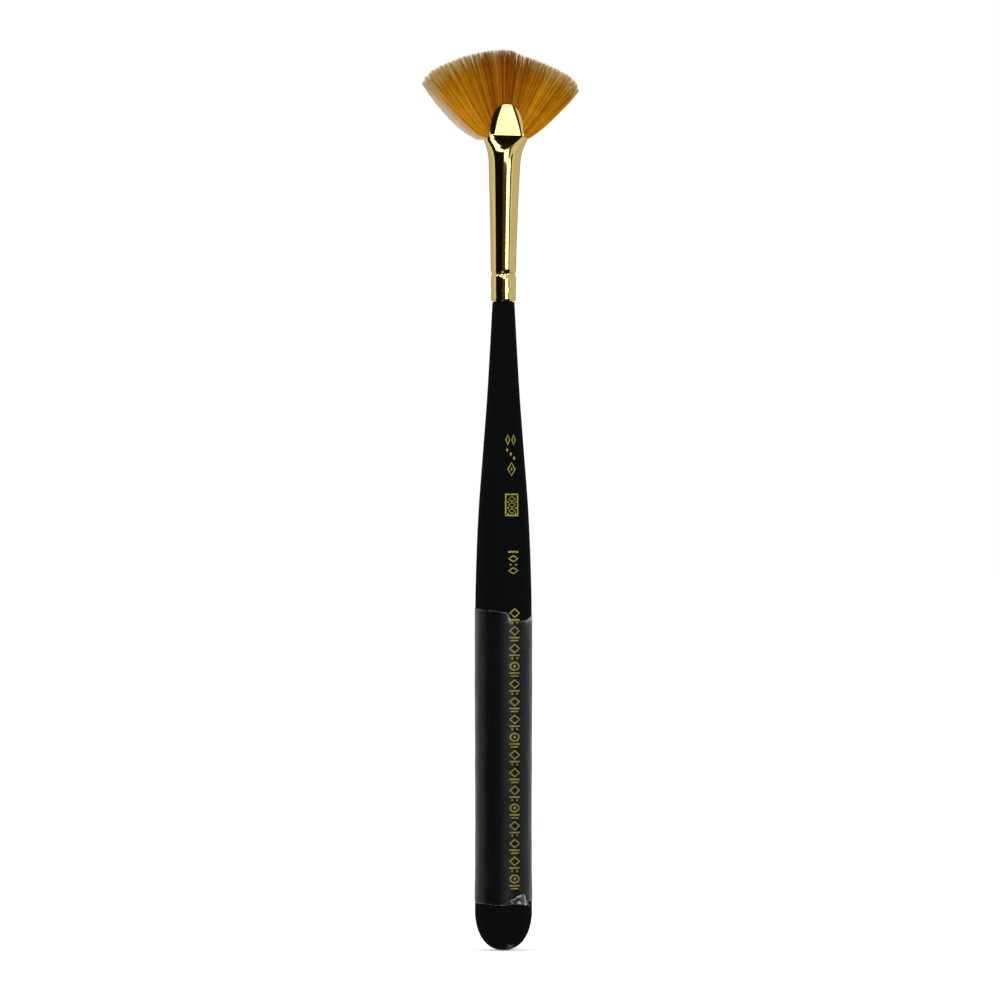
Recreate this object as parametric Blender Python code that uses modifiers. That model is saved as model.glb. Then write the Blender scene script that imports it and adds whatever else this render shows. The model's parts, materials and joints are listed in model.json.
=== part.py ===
"""Miniature fan brush: a turned handle, a pressed ferrule, fanned filaments and a film sleeve.

Z runs along the brush from the tail of the handle (z = 0) to the top of the fan, and the
flat of the fan faces -Y and +Y. Everything below is in metres.
"""
import math

import bmesh
import bpy

MM = 0.001

# Handle, turned in wood: a full, rounded tail, a long belly and a taper up to the ferrule.
TAIL_RADIUS = 3.80 * MM
TAIL_HEIGHT = 5.4 * MM
TAIL_POWER = 2.2
BELLY_END = 46 * MM
HANDLE_STATIONS = [
    (TAIL_HEIGHT, TAIL_RADIUS),
    (14 * MM, 3.71 * MM),
    (32 * MM, 3.75 * MM),
    (BELLY_END, 3.76 * MM),
    (57.4 * MM, 3.39 * MM),
    (67.4 * MM, 2.66 * MM),
    (73.4 * MM, 2.21 * MM),
    (78.7 * MM, 1.89 * MM),
    (86.4 * MM, 1.47 * MM),
]
SHOULDER_Z = HANDLE_STATIONS[-1][0]
TENON_TOP = 93.5 * MM
TENON_NOSE = 0.4 * MM
TURNING_STEPS = 36

# Ferrule: plated brass tube, crimped on the tenon and pressed flat at its mouth.
WALL = 0.2 * MM
FERRULE_BOTTOM = 86.5 * MM
FERRULE_TOP = 113.4 * MM
FOOT_RADIUS = 1.64 * MM
BODY_RADIUS = 1.70 * MM
BODY_START = 90.7 * MM
BODY_END = 105.0 * MM
BODY_GROWTH = 0.41 * MM
FLARE_HEIGHT = 3.2 * MM
FLARE_GROWTH = 0.78 * MM
MOUTH_HALF_WIDTH = 2.88 * MM
CRIMP_Z = 90.1 * MM
CRIMP_DEPTH = 0.20 * MM
CRIMP_HALF_HEIGHT = 0.42 * MM
CRIMP_BAND = 0.9 * MM
LIP_ROLL = 0.3 * MM
LIP_INSET = 0.06 * MM
DEPTH_STATIONS = [
    (103.5 * MM, 2.04 * MM),
    (106.2 * MM, 1.92 * MM),
    (107.2 * MM, 1.62 * MM),
    (108.6 * MM, 1.02 * MM),
    (112.8 * MM, 0.80 * MM),
]
PRESS_START = 106.9 * MM
CREASE_Z = 108.6 * MM
PRESS_START_DEPTH = 1.74 * MM
FLAT_DEPTH = 0.78 * MM
RING_POINTS = 40

# The mouth is cut to a tongue at the front and at the back, on a rounded arch.
CUT_Z = 108.35 * MM
ARCH_HALF_WIDTH = 2.3 * MM
ARCH_HEIGHT = 4.45 * MM
ARCH_POWER = 2.6
ARCH_POINTS = 28

# Fan of filaments: a sector of a circle, whose centre is inside the ferrule.
FAN_CENTRE_Z = 105.7 * MM
FAN_RADIUS = 14.3 * MM
FAN_HALF_ANGLE = math.radians(47)
FAN_HALF_THICKNESS = 0.36 * MM
FAN_ARC_STEPS = 24
FLEX_Z = 113.0 * MM
FLEX_GAP = 0.5 * MM
FAN_INSET = 0.28 * MM

# Inside the ferrule.
FIT_GAP = 0.05 * MM
BUNDLE_RADIUS = 1.1 * MM
BUNDLE_BOTTOM = 98.1 * MM
BUNDLE_SPREAD_Z = 102.8 * MM
EPOXY_BOTTOM = 96.0 * MM
EPOXY_TOP = 101.2 * MM
EPOXY_RADIUS = 1.52 * MM
CEMENT_BOTTOM = 86.9 * MM
CEMENT_TOP = 92.6 * MM
CEMENT_THICKNESS = 0.12 * MM
THREAD_RADIUS = 0.12 * MM
THREAD_TURNS = 3
THREAD_PITCH = 0.29 * MM
THREAD_Z = 101.45 * MM
THREAD_POINTS_PER_TURN = 16

# Clear film wrapped round the belly of the handle.
FILM_BOTTOM = 6.1 * MM
FILM_TOP = 45.6 * MM
FILM_GAP = 0.02 * MM
FILM_THICKNESS = 0.05 * MM

MERGE = 0.000001


def clear_scene():
    for obj in list(bpy.data.objects):
        bpy.data.objects.remove(obj, do_unlink=True)


def new_collection(name):
    collection = bpy.data.collections.new(name)
    bpy.context.scene.collection.children.link(collection)
    return collection


def finish(name, colour, roughness, metallic=0.0, alpha=1.0):
    material = bpy.data.materials.new(name)
    material.use_nodes = True
    shader = material.node_tree.nodes["Principled BSDF"]
    shader.inputs["Base Color"].default_value = (*colour, 1.0)
    shader.inputs["Roughness"].default_value = roughness
    shader.inputs["Metallic"].default_value = metallic
    shader.inputs["Alpha"].default_value = alpha
    return material


def empty(collection, name, z, parent=None):
    obj = bpy.data.objects.new(name, None)
    obj.location = (0, 0, z)
    obj.empty_display_size = 2 * MM
    obj.parent = parent
    collection.objects.link(obj)
    return obj


def add_mesh(collection, name, mesh, material, parent):
    """Link a mesh as a named sub-part under its empty, and shade its round stretches smooth."""
    mesh.name = name
    mesh.shade_smooth()
    mesh.set_sharp_from_angle(angle=math.radians(40))
    mesh.materials.clear()
    mesh.materials.append(material)
    obj = bpy.data.objects.new(name, mesh)
    obj.parent = parent
    obj.location = (0, 0, -parent.location.z)
    collection.objects.link(obj)
    return obj


def through(stations, z):
    """Read a smooth cubic curve through a few (z, size) stations, held level past its ends."""
    if z <= stations[0][0]:
        return stations[0][1]
    if z >= stations[-1][0]:
        return stations[-1][1]
    i = max(k for k in range(len(stations) - 1) if stations[k][0] <= z)

    def slope(k):
        low, high = stations[max(k - 1, 0)], stations[min(k + 1, len(stations) - 1)]
        return (high[1] - low[1]) / (high[0] - low[0])

    (z0, v0), (z1, v1) = stations[i], stations[i + 1]
    span = z1 - z0
    t = (z - z0) / span
    value = v0 * (1 + 2 * t) * (1 - t) ** 2 + v1 * t * t * (3 - 2 * t)
    return value + span * (slope(i) * t * (1 - t) ** 2 + slope(i + 1) * t * t * (t - 1))


def spaced(start, end, count):
    """Return count evenly spaced values from start, leaving end for the next run."""
    return [start + (end - start) * i / count for i in range(count)]


# --- sizes that follow from the driving dimensions ---


def handle_radius(z):
    if z < TAIL_HEIGHT:
        return TAIL_RADIUS * (1 - (1 - z / TAIL_HEIGHT) ** TAIL_POWER) ** (1 / TAIL_POWER)
    return through(HANDLE_STATIONS, z)


def crimp(z):
    return CRIMP_DEPTH * math.exp(-(((z - CRIMP_Z) / CRIMP_HALF_HEIGHT) ** 2))


def ferrule_half_width(z):
    """Half the outer width of the ferrule, seen from the front."""
    rise = max(0.0, z - BODY_START) / (BODY_END - BODY_START)
    width = BODY_RADIUS + BODY_GROWTH * rise**1.5
    if z < BODY_START:
        part = (z - FERRULE_BOTTOM) / (BODY_START - FERRULE_BOTTOM)
        width = FOOT_RADIUS + (BODY_RADIUS - FOOT_RADIUS) * part
    flare = max(0.0, z - BODY_END) / FLARE_HEIGHT
    width += FLARE_GROWTH * flare**2
    lip = max(0.0, 1 - (z - FERRULE_BOTTOM) / LIP_ROLL)
    return min(width - crimp(z) - LIP_INSET * lip**2, MOUTH_HALF_WIDTH)


def ferrule_half_depth(z):
    """Half the outer depth that the tube has before the press plane is taken off it."""
    return min(through(DEPTH_STATIONS, z), ferrule_half_width(z))


def press_depth(z):
    """How far the pressed face stands from the middle plane."""
    if z <= PRESS_START:
        return ferrule_half_depth(z)
    part = min(1.0, (z - PRESS_START) / (CREASE_Z - PRESS_START))
    return PRESS_START_DEPTH + (FLAT_DEPTH - PRESS_START_DEPTH) * part


def ferrule_section(z):
    """One ring of the ferrule: an ellipse with its front and back pressed flat."""
    width, depth, flat = ferrule_half_width(z), ferrule_half_depth(z), press_depth(z)
    ring = []
    for i in range(RING_POINTS):
        angle = 2 * math.pi * i / RING_POINTS
        y = depth * math.sin(angle)
        ring.append((width * math.cos(angle), max(-flat, min(flat, y)), z))
    return ring


def bundle_section(z):
    """One ring of the filament bundle: round at the root, a thin strip in the fan."""
    if z <= BUNDLE_SPREAD_Z:
        width = depth = BUNDLE_RADIUS
    elif z < CUT_Z:
        bore = ferrule_half_width(z) - WALL - 2 * FIT_GAP
        part = (z - BUNDLE_SPREAD_Z) / (CUT_Z - BUNDLE_SPREAD_Z)
        width = BUNDLE_RADIUS + (bore - BUNDLE_RADIUS) * min(1.0, 2 * part)
        depth = BUNDLE_RADIUS + (FAN_HALF_THICKNESS - BUNDLE_RADIUS) * part
    else:
        width = (z - FAN_CENTRE_Z) * math.tan(FAN_HALF_ANGLE) - FAN_INSET
        depth = FAN_HALF_THICKNESS
    ring = []
    for i in range(RING_POINTS):
        angle = 2 * math.pi * i / RING_POINTS
        ring.append((width * math.cos(angle), depth * math.sin(angle), z))
    return ring


# --- ways of making a shape ---


def turned(name, profile, steps=TURNING_STEPS):
    """Turn an (r, z) profile, listed top to bottom down its outer side, about the Z axis."""
    mesh = bpy.data.meshes.new(name)
    points = [(r, 0, z) for r, z in profile]
    mesh.from_pydata(points, [(i, i + 1) for i in range(len(points) - 1)], [])
    obj = bpy.data.objects.new(name, mesh)
    bpy.context.scene.collection.objects.link(obj)
    screw = obj.modifiers.new("turning", "SCREW")
    screw.steps = steps
    screw.render_steps = steps
    screw.use_merge_vertices = True
    screw.merge_threshold = MERGE
    return as_mesh(obj)


def as_mesh(obj):
    """Replace a curve or an object with modifiers by its evaluated, welded mesh."""
    bpy.context.view_layer.update()
    graph = bpy.context.evaluated_depsgraph_get()
    mesh = bpy.data.meshes.new_from_object(obj.evaluated_get(graph))
    bpy.data.objects.remove(obj, do_unlink=True)
    shape = bmesh.new()
    shape.from_mesh(mesh)
    bmesh.ops.remove_doubles(shape, verts=shape.verts, dist=MERGE)
    shape.to_mesh(mesh)
    shape.free()
    return mesh


def lofted(rings, capped):
    """Skin a stack of rings that have the same number of points."""
    shape = bmesh.new()
    rows = [[shape.verts.new(point) for point in ring] for ring in rings]
    count = len(rows[0])
    for low, high in zip(rows, rows[1:]):
        for i in range(count):
            j = (i + 1) % count
            shape.faces.new((low[i], low[j], high[j], high[i]))
    if capped:
        shape.faces.new(list(reversed(rows[0])))
        shape.faces.new(rows[-1])
    mesh = bpy.data.meshes.new("loft")
    shape.to_mesh(mesh)
    shape.free()
    return mesh


def plate(points, half_thickness):
    """Extrude a flat outline, given as (x, z) points, to both sides of the XZ plane."""
    curve = bpy.data.curves.new("outline", "CURVE")
    curve.dimensions = "2D"
    curve.fill_mode = "BOTH"
    curve.extrude = half_thickness
    line = curve.splines.new("POLY")
    line.points.add(len(points) - 1)
    for point, (x, z) in zip(line.points, points):
        point.co = (x, z, 0, 1)
    line.use_cyclic_u = True
    obj = bpy.data.objects.new("outline", curve)
    bpy.context.scene.collection.objects.link(obj)
    mesh = as_mesh(obj)
    shape = bmesh.new()
    shape.from_mesh(mesh)
    for vert in shape.verts:
        x, z, y = vert.co
        vert.co = (x, -y, z)
    bmesh.ops.recalc_face_normals(shape, faces=shape.faces)
    shape.to_mesh(mesh)
    shape.free()
    return mesh


# --- the pieces ---


def add_handle(parts, root):
    tail = [TAIL_HEIGHT * (1 - math.cos(math.pi / 2 * i / 10)) for i in range(10)]
    belly = spaced(TAIL_HEIGHT, BELLY_END, 5) + spaced(BELLY_END, SHOULDER_Z, 12)
    body = [(handle_radius(z), z) for z in tail + belly]
    tenon = [(tenon_radius(SHOULDER_Z), SHOULDER_Z)]
    tenon += [(tenon_radius(z), z) for z in spaced(CRIMP_Z - CRIMP_BAND, CRIMP_Z + CRIMP_BAND, 6)]
    nose = tenon_radius(TENON_TOP)
    tenon += [(nose, TENON_TOP - TENON_NOSE), (nose - TENON_NOSE, TENON_TOP), (0, TENON_TOP)]
    profile = body + [(handle_radius(SHOULDER_Z), SHOULDER_Z)] + tenon
    mesh = turned("handle", list(reversed(profile)))
    add_mesh(parts, "handle", mesh, finish("black_lacquer", (0.008, 0.009, 0.009), 0.5), root)


def tenon_radius(z):
    """The tenon fills the ferrule's foot, but for the wall and the cement round it."""
    return FOOT_RADIUS - crimp(z) - WALL - CEMENT_THICKNESS - 2 * FIT_GAP


def add_tenon_cement(parts, root):
    levels = spaced(CEMENT_BOTTOM, CRIMP_Z - CRIMP_BAND, 2)
    levels += spaced(CRIMP_Z - CRIMP_BAND, CRIMP_Z + CRIMP_BAND, 8)
    levels += [CRIMP_Z + CRIMP_BAND, CEMENT_TOP]
    inner = [(tenon_radius(z) + FIT_GAP, z) for z in levels]
    outer = [(r + CEMENT_THICKNESS, z) for r, z in reversed(inner)]
    mesh = turned("tenon_cement", outer + inner + outer[:1])
    look = finish("wood_cement", (0.55, 0.45, 0.25), 0.5)
    add_mesh(parts, "tenon_cement", mesh, look, root)


def add_ferrule(parts, cutters, root):
    levels = spaced(FERRULE_BOTTOM, FERRULE_BOTTOM + LIP_ROLL, 2)
    levels += spaced(FERRULE_BOTTOM + LIP_ROLL, CRIMP_Z - CRIMP_BAND, 2)
    levels += spaced(CRIMP_Z - CRIMP_BAND, CRIMP_Z + CRIMP_BAND, 8)
    levels += spaced(CRIMP_Z + CRIMP_BAND, BODY_END, 5)
    levels += spaced(BODY_END, PRESS_START, 4)
    levels += spaced(PRESS_START, CREASE_Z, 5)
    levels += spaced(CREASE_Z, FERRULE_TOP, 4) + [FERRULE_TOP]
    mesh = lofted([ferrule_section(z) for z in levels], capped=False)
    look = finish("gold_plate", (0.80, 0.62, 0.24), 0.12, metallic=1.0)
    ferrule = add_mesh(parts, "ferrule", mesh, look, root)
    wall = ferrule.modifiers.new("wall", "SOLIDIFY")
    wall.thickness = WALL
    wall.offset = -1
    wall.use_even_offset = True
    cut = ferrule.modifiers.new("mouth_cut", "BOOLEAN")
    cut.operation = "DIFFERENCE"
    cut.solver = "EXACT"
    cut.object = add_mouth_cutter(cutters)


def add_mouth_cutter(cutters):
    """All that lies above the tongues' arch and above the cut at the two sides."""
    side = 2 * MOUTH_HALF_WIDTH
    top = FERRULE_TOP + 2 * MM
    arch = []
    for i in range(ARCH_POINTS + 1):
        angle = math.pi * i / ARCH_POINTS
        c, s = math.cos(angle), math.sin(angle)
        x = ARCH_HALF_WIDTH * math.copysign(abs(c) ** (2 / ARCH_POWER), c)
        arch.append((x, CUT_Z + ARCH_HEIGHT * abs(s) ** (2 / ARCH_POWER)))
    outline = [(side, top), (side, CUT_Z)] + arch + [(-side, CUT_Z), (-side, top)]
    cutter = bpy.data.objects.new("mouth_cutter", plate(outline, MOUTH_HALF_WIDTH))
    cutter.hide_render = True
    cutter.display_type = "WIRE"
    cutters.objects.link(cutter)
    return cutter


def add_root_epoxy(parts, root):
    bore = BUNDLE_RADIUS + FIT_GAP
    floor = BUNDLE_BOTTOM - FIT_GAP
    profile = [
        (bore, EPOXY_TOP),
        (EPOXY_RADIUS, EPOXY_TOP),
        (EPOXY_RADIUS, EPOXY_BOTTOM),
        (0, EPOXY_BOTTOM),
    ]
    cup = [(0, floor), (bore, floor)]
    mesh = turned("root_epoxy", cup + profile)
    add_mesh(parts, "root_epoxy", mesh, finish("epoxy", (0.45, 0.28, 0.08), 0.3), root)


def add_root_thread(parts, root):
    curve = bpy.data.curves.new("root_thread", "CURVE")
    curve.dimensions = "3D"
    curve.bevel_depth = THREAD_RADIUS
    curve.bevel_resolution = 2
    curve.use_fill_caps = True
    line = curve.splines.new("POLY")
    count = THREAD_TURNS * THREAD_POINTS_PER_TURN
    line.points.add(count)
    radius = BUNDLE_RADIUS + THREAD_RADIUS + FIT_GAP
    for i, point in enumerate(line.points):
        angle = 2 * math.pi * i / THREAD_POINTS_PER_TURN
        z = THREAD_Z + THREAD_PITCH * i / THREAD_POINTS_PER_TURN
        point.co = (radius * math.cos(angle), radius * math.sin(angle), z, 1)
    obj = bpy.data.objects.new("root_thread", curve)
    bpy.context.scene.collection.objects.link(obj)
    look = finish("binding_thread", (0.75, 0.72, 0.65), 0.8)
    add_mesh(parts, "root_thread", as_mesh(obj), look, root)


def add_filament_roots(parts, look, root):
    """The part of the bundle that the ferrule holds still, up to just under the flex line."""
    top = FLEX_Z - FLEX_GAP / 2
    levels = [BUNDLE_BOTTOM, BUNDLE_SPREAD_Z]
    levels += spaced(BUNDLE_SPREAD_Z, CUT_Z, 8)[1:]
    levels += spaced(CUT_Z, top, 3) + [top]
    mesh = lofted([bundle_section(z) for z in levels], capped=True)
    add_mesh(parts, "filament_roots", mesh, look, root)


def add_filament_tips(parts, look, flex):
    """The free part of the fan, which bends with the flex line at the ferrule's mouth."""
    bottom = FLEX_Z + FLEX_GAP / 2
    edge = (bottom - FAN_CENTRE_Z) * math.tan(FAN_HALF_ANGLE)
    arc = []
    for i in range(FAN_ARC_STEPS + 1):
        angle = FAN_HALF_ANGLE * (1 - 2 * i / FAN_ARC_STEPS)
        x = FAN_RADIUS * math.sin(angle)
        arc.append((x, FAN_CENTRE_Z + FAN_RADIUS * math.cos(angle)))
    outline = [(-edge, bottom), (edge, bottom)] + arc
    mesh = plate(outline, FAN_HALF_THICKNESS)
    add_mesh(parts, "filament_tips", mesh, look, flex)


def add_film_sleeve(parts, root):
    levels = spaced(FILM_BOTTOM, FILM_TOP, 6) + [FILM_TOP]
    inner = [(handle_radius(z) + FILM_GAP, z) for z in levels]
    outer = [(r + FILM_THICKNESS, z) for r, z in reversed(inner)]
    mesh = turned("film_sleeve", outer + inner + outer[:1])
    look = finish("clear_film", (0.75, 0.77, 0.8), 0.15, alpha=0.25)
    add_mesh(parts, "film_sleeve", mesh, look, root)


def main():
    clear_scene()
    parts = new_collection("fan_brush")
    cutters = new_collection("cutters")
    root = empty(parts, "brush", 0)
    flex = empty(parts, "tuft_flex", FLEX_Z, root)
    filament = finish("amber_filament", (0.42, 0.19, 0.02), 0.45)
    add_handle(parts, root)
    add_tenon_cement(parts, root)
    add_ferrule(parts, cutters, root)
    add_root_epoxy(parts, root)
    add_root_thread(parts, root)
    add_filament_roots(parts, filament, root)
    add_filament_tips(parts, filament, flex)
    add_film_sleeve(parts, root)


main()
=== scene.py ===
"""Visual model of a miniature fan brush, laid out as a Blender add-on.

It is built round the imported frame. Z runs from the tail of the handle to the top of the fan,
and the flat of the fan faces -Y and +Y. Lengths are in metres, most of them written with MM.
Angles round the brush are measured from the front, which faces -Y, towards +X.
"""
import json
import math

import bmesh
import bpy
import numpy as np
from bpy.props import FloatProperty, FloatVectorProperty, IntProperty, PointerProperty
from mathutils import Matrix, Vector


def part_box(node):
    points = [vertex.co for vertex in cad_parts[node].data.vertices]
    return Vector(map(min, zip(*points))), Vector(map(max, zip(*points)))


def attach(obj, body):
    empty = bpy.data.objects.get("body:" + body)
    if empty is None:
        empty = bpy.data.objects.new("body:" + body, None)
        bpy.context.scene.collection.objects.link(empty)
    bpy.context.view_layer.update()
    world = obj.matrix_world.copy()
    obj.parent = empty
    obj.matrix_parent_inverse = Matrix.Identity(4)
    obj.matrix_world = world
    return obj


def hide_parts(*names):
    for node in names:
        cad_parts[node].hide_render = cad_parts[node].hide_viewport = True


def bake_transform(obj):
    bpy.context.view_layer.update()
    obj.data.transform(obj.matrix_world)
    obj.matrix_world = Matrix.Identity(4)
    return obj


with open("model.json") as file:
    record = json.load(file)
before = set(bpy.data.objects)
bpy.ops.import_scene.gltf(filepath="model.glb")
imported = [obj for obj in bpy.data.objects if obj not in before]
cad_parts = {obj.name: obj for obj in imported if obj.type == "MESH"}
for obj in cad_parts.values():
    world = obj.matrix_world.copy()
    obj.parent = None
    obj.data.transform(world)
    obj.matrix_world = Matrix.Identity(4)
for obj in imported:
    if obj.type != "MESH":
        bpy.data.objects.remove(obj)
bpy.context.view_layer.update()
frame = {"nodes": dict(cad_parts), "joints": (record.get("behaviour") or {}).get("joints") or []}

bl_info = {
    "name": "Fan Brush",
    "version": (1, 0, 0),
    "blender": (4, 5, 0),
    "location": "3D View > Sidebar > Fan Brush",
    "description": "Builds a miniature fan brush round its packed frame",
    "category": "Add Mesh",
}

MM = 0.001
MICRON = 0.000001

HANDLE_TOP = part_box("handle")[1].z
FERRULE_LOW, FERRULE_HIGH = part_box("ferrule")
ROOTS_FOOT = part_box("filament_roots")[0].z
FLEX_Z = frame["joints"][0]["pos_m"][2]


# --- curves through a few points ---


def through(stations, place):
    """Read a smooth cubic curve through a few (place, value) stations, held past its ends."""
    if place <= stations[0][0]:
        return stations[0][1]
    if place >= stations[-1][0]:
        return stations[-1][1]
    i = max(k for k in range(len(stations) - 1) if stations[k][0] <= place)

    def slope(k):
        low, high = stations[max(k - 1, 0)], stations[min(k + 1, len(stations) - 1)]
        return (high[1] - low[1]) / (high[0] - low[0])

    (p0, v0), (p1, v1) = stations[i], stations[i + 1]
    span = p1 - p0
    t = (place - p0) / span
    value = v0 * (1 + 2 * t) * (1 - t) ** 2 + v1 * t * t * (3 - 2 * t)
    return value + span * (slope(i) * t * (1 - t) ** 2 + slope(i + 1) * t * t * (t - 1))


def rounded_line(points, steps):
    """Run a smooth line through (r, z) points, with that many steps between neighbours."""
    points = [Vector(point) for point in points]
    before = Vector((-points[1].x, points[1].y))
    after = 2 * points[-1] - points[-2]
    points = [before] + points + [after]
    line = []
    for a, b, c, d in zip(points, points[1:], points[2:], points[3:]):
        for step in range(steps):
            t = step / steps
            line.append(
                0.5 * (2 * b + (c - a) * t + (2 * a - 5 * b + 4 * c - d) * t**2)
                + 0.5 * (3 * b - a - 3 * c + d) * t**3
            )
    return line + [points[-2]]


def smooth_step(value, low, high):
    t = min(1.0, max(0.0, (value - low) / (high - low)))
    return t * t * (3 - 2 * t)


def soft_minimum(a, b, softness):
    """The smaller of two numbers, with the corner between them rounded off."""
    part = min(1.0, max(0.0, 0.5 + 0.5 * (b - a) / softness))
    return b + (a - b) * part - softness * part * (1 - part)


def spread(start, end, count):
    """Evenly spaced values from start, leaving end for the next run."""
    return [start + (end - start) * i / count for i in range(count)]


def turned_stations(node):
    """Read the (z, radius) rings of a turned CAD node, from its lowest to its highest."""
    rings = {}
    for vert in frame["nodes"][node].data.vertices:
        z = round(vert.co.z, 6)
        rings[z] = max(rings.get(z, 0.0), math.hypot(vert.co.x, vert.co.y))
    return sorted(rings.items())


HANDLE_STATIONS = turned_stations("handle")
SHOULDER_Z = max(z for z, r in HANDLE_STATIONS if z < FERRULE_LOW.z)
BELLY_STATIONS = [(z, r) for z, r in HANDLE_STATIONS if z <= SHOULDER_Z]
TENON_STATIONS = [(z, r) for z, r in HANDLE_STATIONS if z > SHOULDER_Z]


def handle_radius(z):
    return through(BELLY_STATIONS, z)


def on_handle(along, z, lift):
    """A point that far round the handle's skin from its front line, and that far above it."""
    radius = handle_radius(z)
    angle = along / radius
    return Vector(((radius + lift) * math.sin(angle), -(radius + lift) * math.cos(angle), z))


# --- settings ---


def length(name, description, default):
    return FloatProperty(
        name=name, description=description, default=default, min=0.0, unit="LENGTH", precision=5
    )


def share(name, description, default):
    return FloatProperty(
        name=name, description=description, default=default, min=0.0, max=1.0, subtype="FACTOR"
    )


def colour(name, description, default):
    return FloatVectorProperty(
        name=name, description=description, default=default, min=0.0, max=1.0, subtype="COLOR"
    )


def count(name, description, default):
    return IntProperty(name=name, description=description, default=default, min=1)


class HandleSettings(bpy.types.PropertyGroup):
    steps: count("Turning steps", "Faces round the handle", 96)
    lacquer: colour("Lacquer", "Body colour of the lacquer", (0.0028, 0.0032, 0.0032))
    undercoat: colour("Undercoat", "Primer that shows where lacquer is chipped", (0.10, 0.12, 0.10))
    gloss: share("Gloss", "Strength of the lacquer's reflection", 0.015)


class FerruleSettings(bpy.types.PropertyGroup):
    wall: length("Wall", "Thickness of the tube", 0.2 * MM)
    crimp_depth: length("Crimp depth", "How deep the rolled groove is", 0.11 * MM)
    dimple_depth: length("Dimple depth", "How deep the crimping marks are", 0.075 * MM)
    dimples: count("Dimples", "Crimping marks round the tube", 16)
    plating: colour("Plating", "Colour of the plating", (0.93, 0.74, 0.25))
    tarnish: colour("Tarnish", "Colour of the plating where it is worn", (0.72, 0.52, 0.15))


class TuftSettings(bpy.types.PropertyGroup):
    strands: count("Strands", "Filaments in each layer of the fan", 2400)
    locks: count("Locks", "Locks that the filaments gather into", 120)
    thickness: length("Filament thickness", "Diameter at the root of a filament", 0.075 * MM)
    amber: colour("Amber", "Main colour of the filaments", (0.37, 0.133, 0.0010))
    # Umber also colours the painted shade in the fan's middle, and honey the painted light towards
    # its sides.
    umber: colour("Umber", "Colour of the dark filaments", (0.21, 0.049, 0.0004))
    honey: colour("Honey", "Colour of the light filaments", (0.64, 0.285, 0.005))
    straw: colour("Straw", "Colour of the tapered tips", (0.68, 0.52, 0.15))
    flax: colour("Flax", "Colour of the loose filaments at the edge", (0.58, 0.50, 0.36))


class FilmSettings(bpy.types.PropertyGroup):
    thickness: length("Film thickness", "Thickness of the clear film", 0.02 * MM)
    gap: length("Film gap", "Gap between the lacquer and the film", 0.03 * MM)
    haze: share("Haze", "Whiteness of the film away from its edges", 0.002)
    tint: colour("Tint", "Colour of the film's reflection", (0.41, 0.425, 0.455))


class FoilSettings(bpy.types.PropertyGroup):
    stroke: length("Stroke", "Width of the ornaments' strokes", 0.22 * MM)
    lift: length("Lift", "How far the foil stands on the lacquer", 0.008 * MM)
    thickness: length("Foil thickness", "Thickness of the stamped foil", 0.006 * MM)
    foil: colour("Foil", "Colour of the stamped foil", (0.36, 0.295, 0.04))
    worn: colour("Worn foil", "Colour of the foil where it is rubbed", (0.10, 0.09, 0.02))


class StageSettings(bpy.types.PropertyGroup):
    camera_distance: length("Camera distance", "From the camera to the brush", 1.2)
    field: length("Field", "Width that the camera sees at the brush", 133.3 * MM)
    sideways: length("Sideways", "How far the camera stands left of the brush", 0.46 * MM)
    camera_height: length("Camera height", "Height of the camera's axis", 60.0 * MM)
    floor: colour("Floor", "Colour of the floor", (0.90, 0.90, 0.90))


# --- node trees ---


class Tree:
    """The nodes of a material or a world. Arithmetic on a Value adds the Math nodes."""

    def __init__(self, owner):
        owner.use_nodes = True
        self.owner = owner
        self.nodes = owner.node_tree.nodes
        self.links = owner.node_tree.links
        self.nodes.clear()

    def node(self, kind, settings=None, sockets=None, output=0):
        """Add a node of a type, set its settings, then give its sockets values or links."""
        node = self.nodes.new(kind)
        for name, value in (settings or {}).items():
            setattr(node, name, value)
        for name, value in (sockets or {}).items():
            if isinstance(value, Value):
                self.links.new(value.socket, node.inputs[name])
            else:
                node.inputs[name].default_value = value
        return Value(self, node.outputs[output] if len(node.outputs) else None)

    def place(self):
        return self.node("ShaderNodeTexCoord", output="Object")

    def attribute(self, name):
        return self.node("ShaderNodeAttribute", {"attribute_name": name}, output="Fac")

    def axes(self, vector):
        kind = "ShaderNodeSeparateXYZ"
        return [self.node(kind, sockets={0: vector}, output=axis) for axis in range(3)]

    def noise(self, vector, scale, detail=2.0, roughness=0.5):
        sockets = {"Vector": vector, "Scale": scale, "Detail": detail, "Roughness": roughness}
        return self.node("ShaderNodeTexNoise", sockets=sockets)

    def stretched(self, vector, scale):
        """Squeeze or stretch a pattern's coordinates along each axis."""
        return self.node("ShaderNodeMapping", sockets={"Vector": vector, "Scale": scale})

    def step(self, value, low, high):
        """Rise smoothly from 0 at low to 1 at high."""
        sockets = {"Value": value, "From Min": low, "From Max": high}
        return self.node("ShaderNodeMapRange", {"interpolation_type": "SMOOTHSTEP"}, sockets)

    def band(self, value, start, full, fading, end):
        """Rise from 0 at start to 1 at full, and fall from fading back to 0 at end."""
        return self.step(value, start, full) * (1 - self.step(value, fading, end))

    def mix(self, factor, a, b):
        sockets = {0: factor, 6: rgba(a), 7: rgba(b)}
        return self.node("ShaderNodeMix", {"data_type": "RGBA"}, sockets, output=2)

    def bump(self, height, distance, strength=1.0):
        sockets = {"Height": height, "Distance": distance, "Strength": strength}
        return self.node("ShaderNodeBump", sockets=sockets, output="Normal")

    def principled(self, **sockets):
        named = {name.replace("_", " "): value for name, value in sockets.items()}
        return self.node("ShaderNodeBsdfPrincipled", sockets=named)

    def surface(self, shader):
        self.node("ShaderNodeOutputMaterial", sockets={"Surface": shader})
        return self.owner


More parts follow.
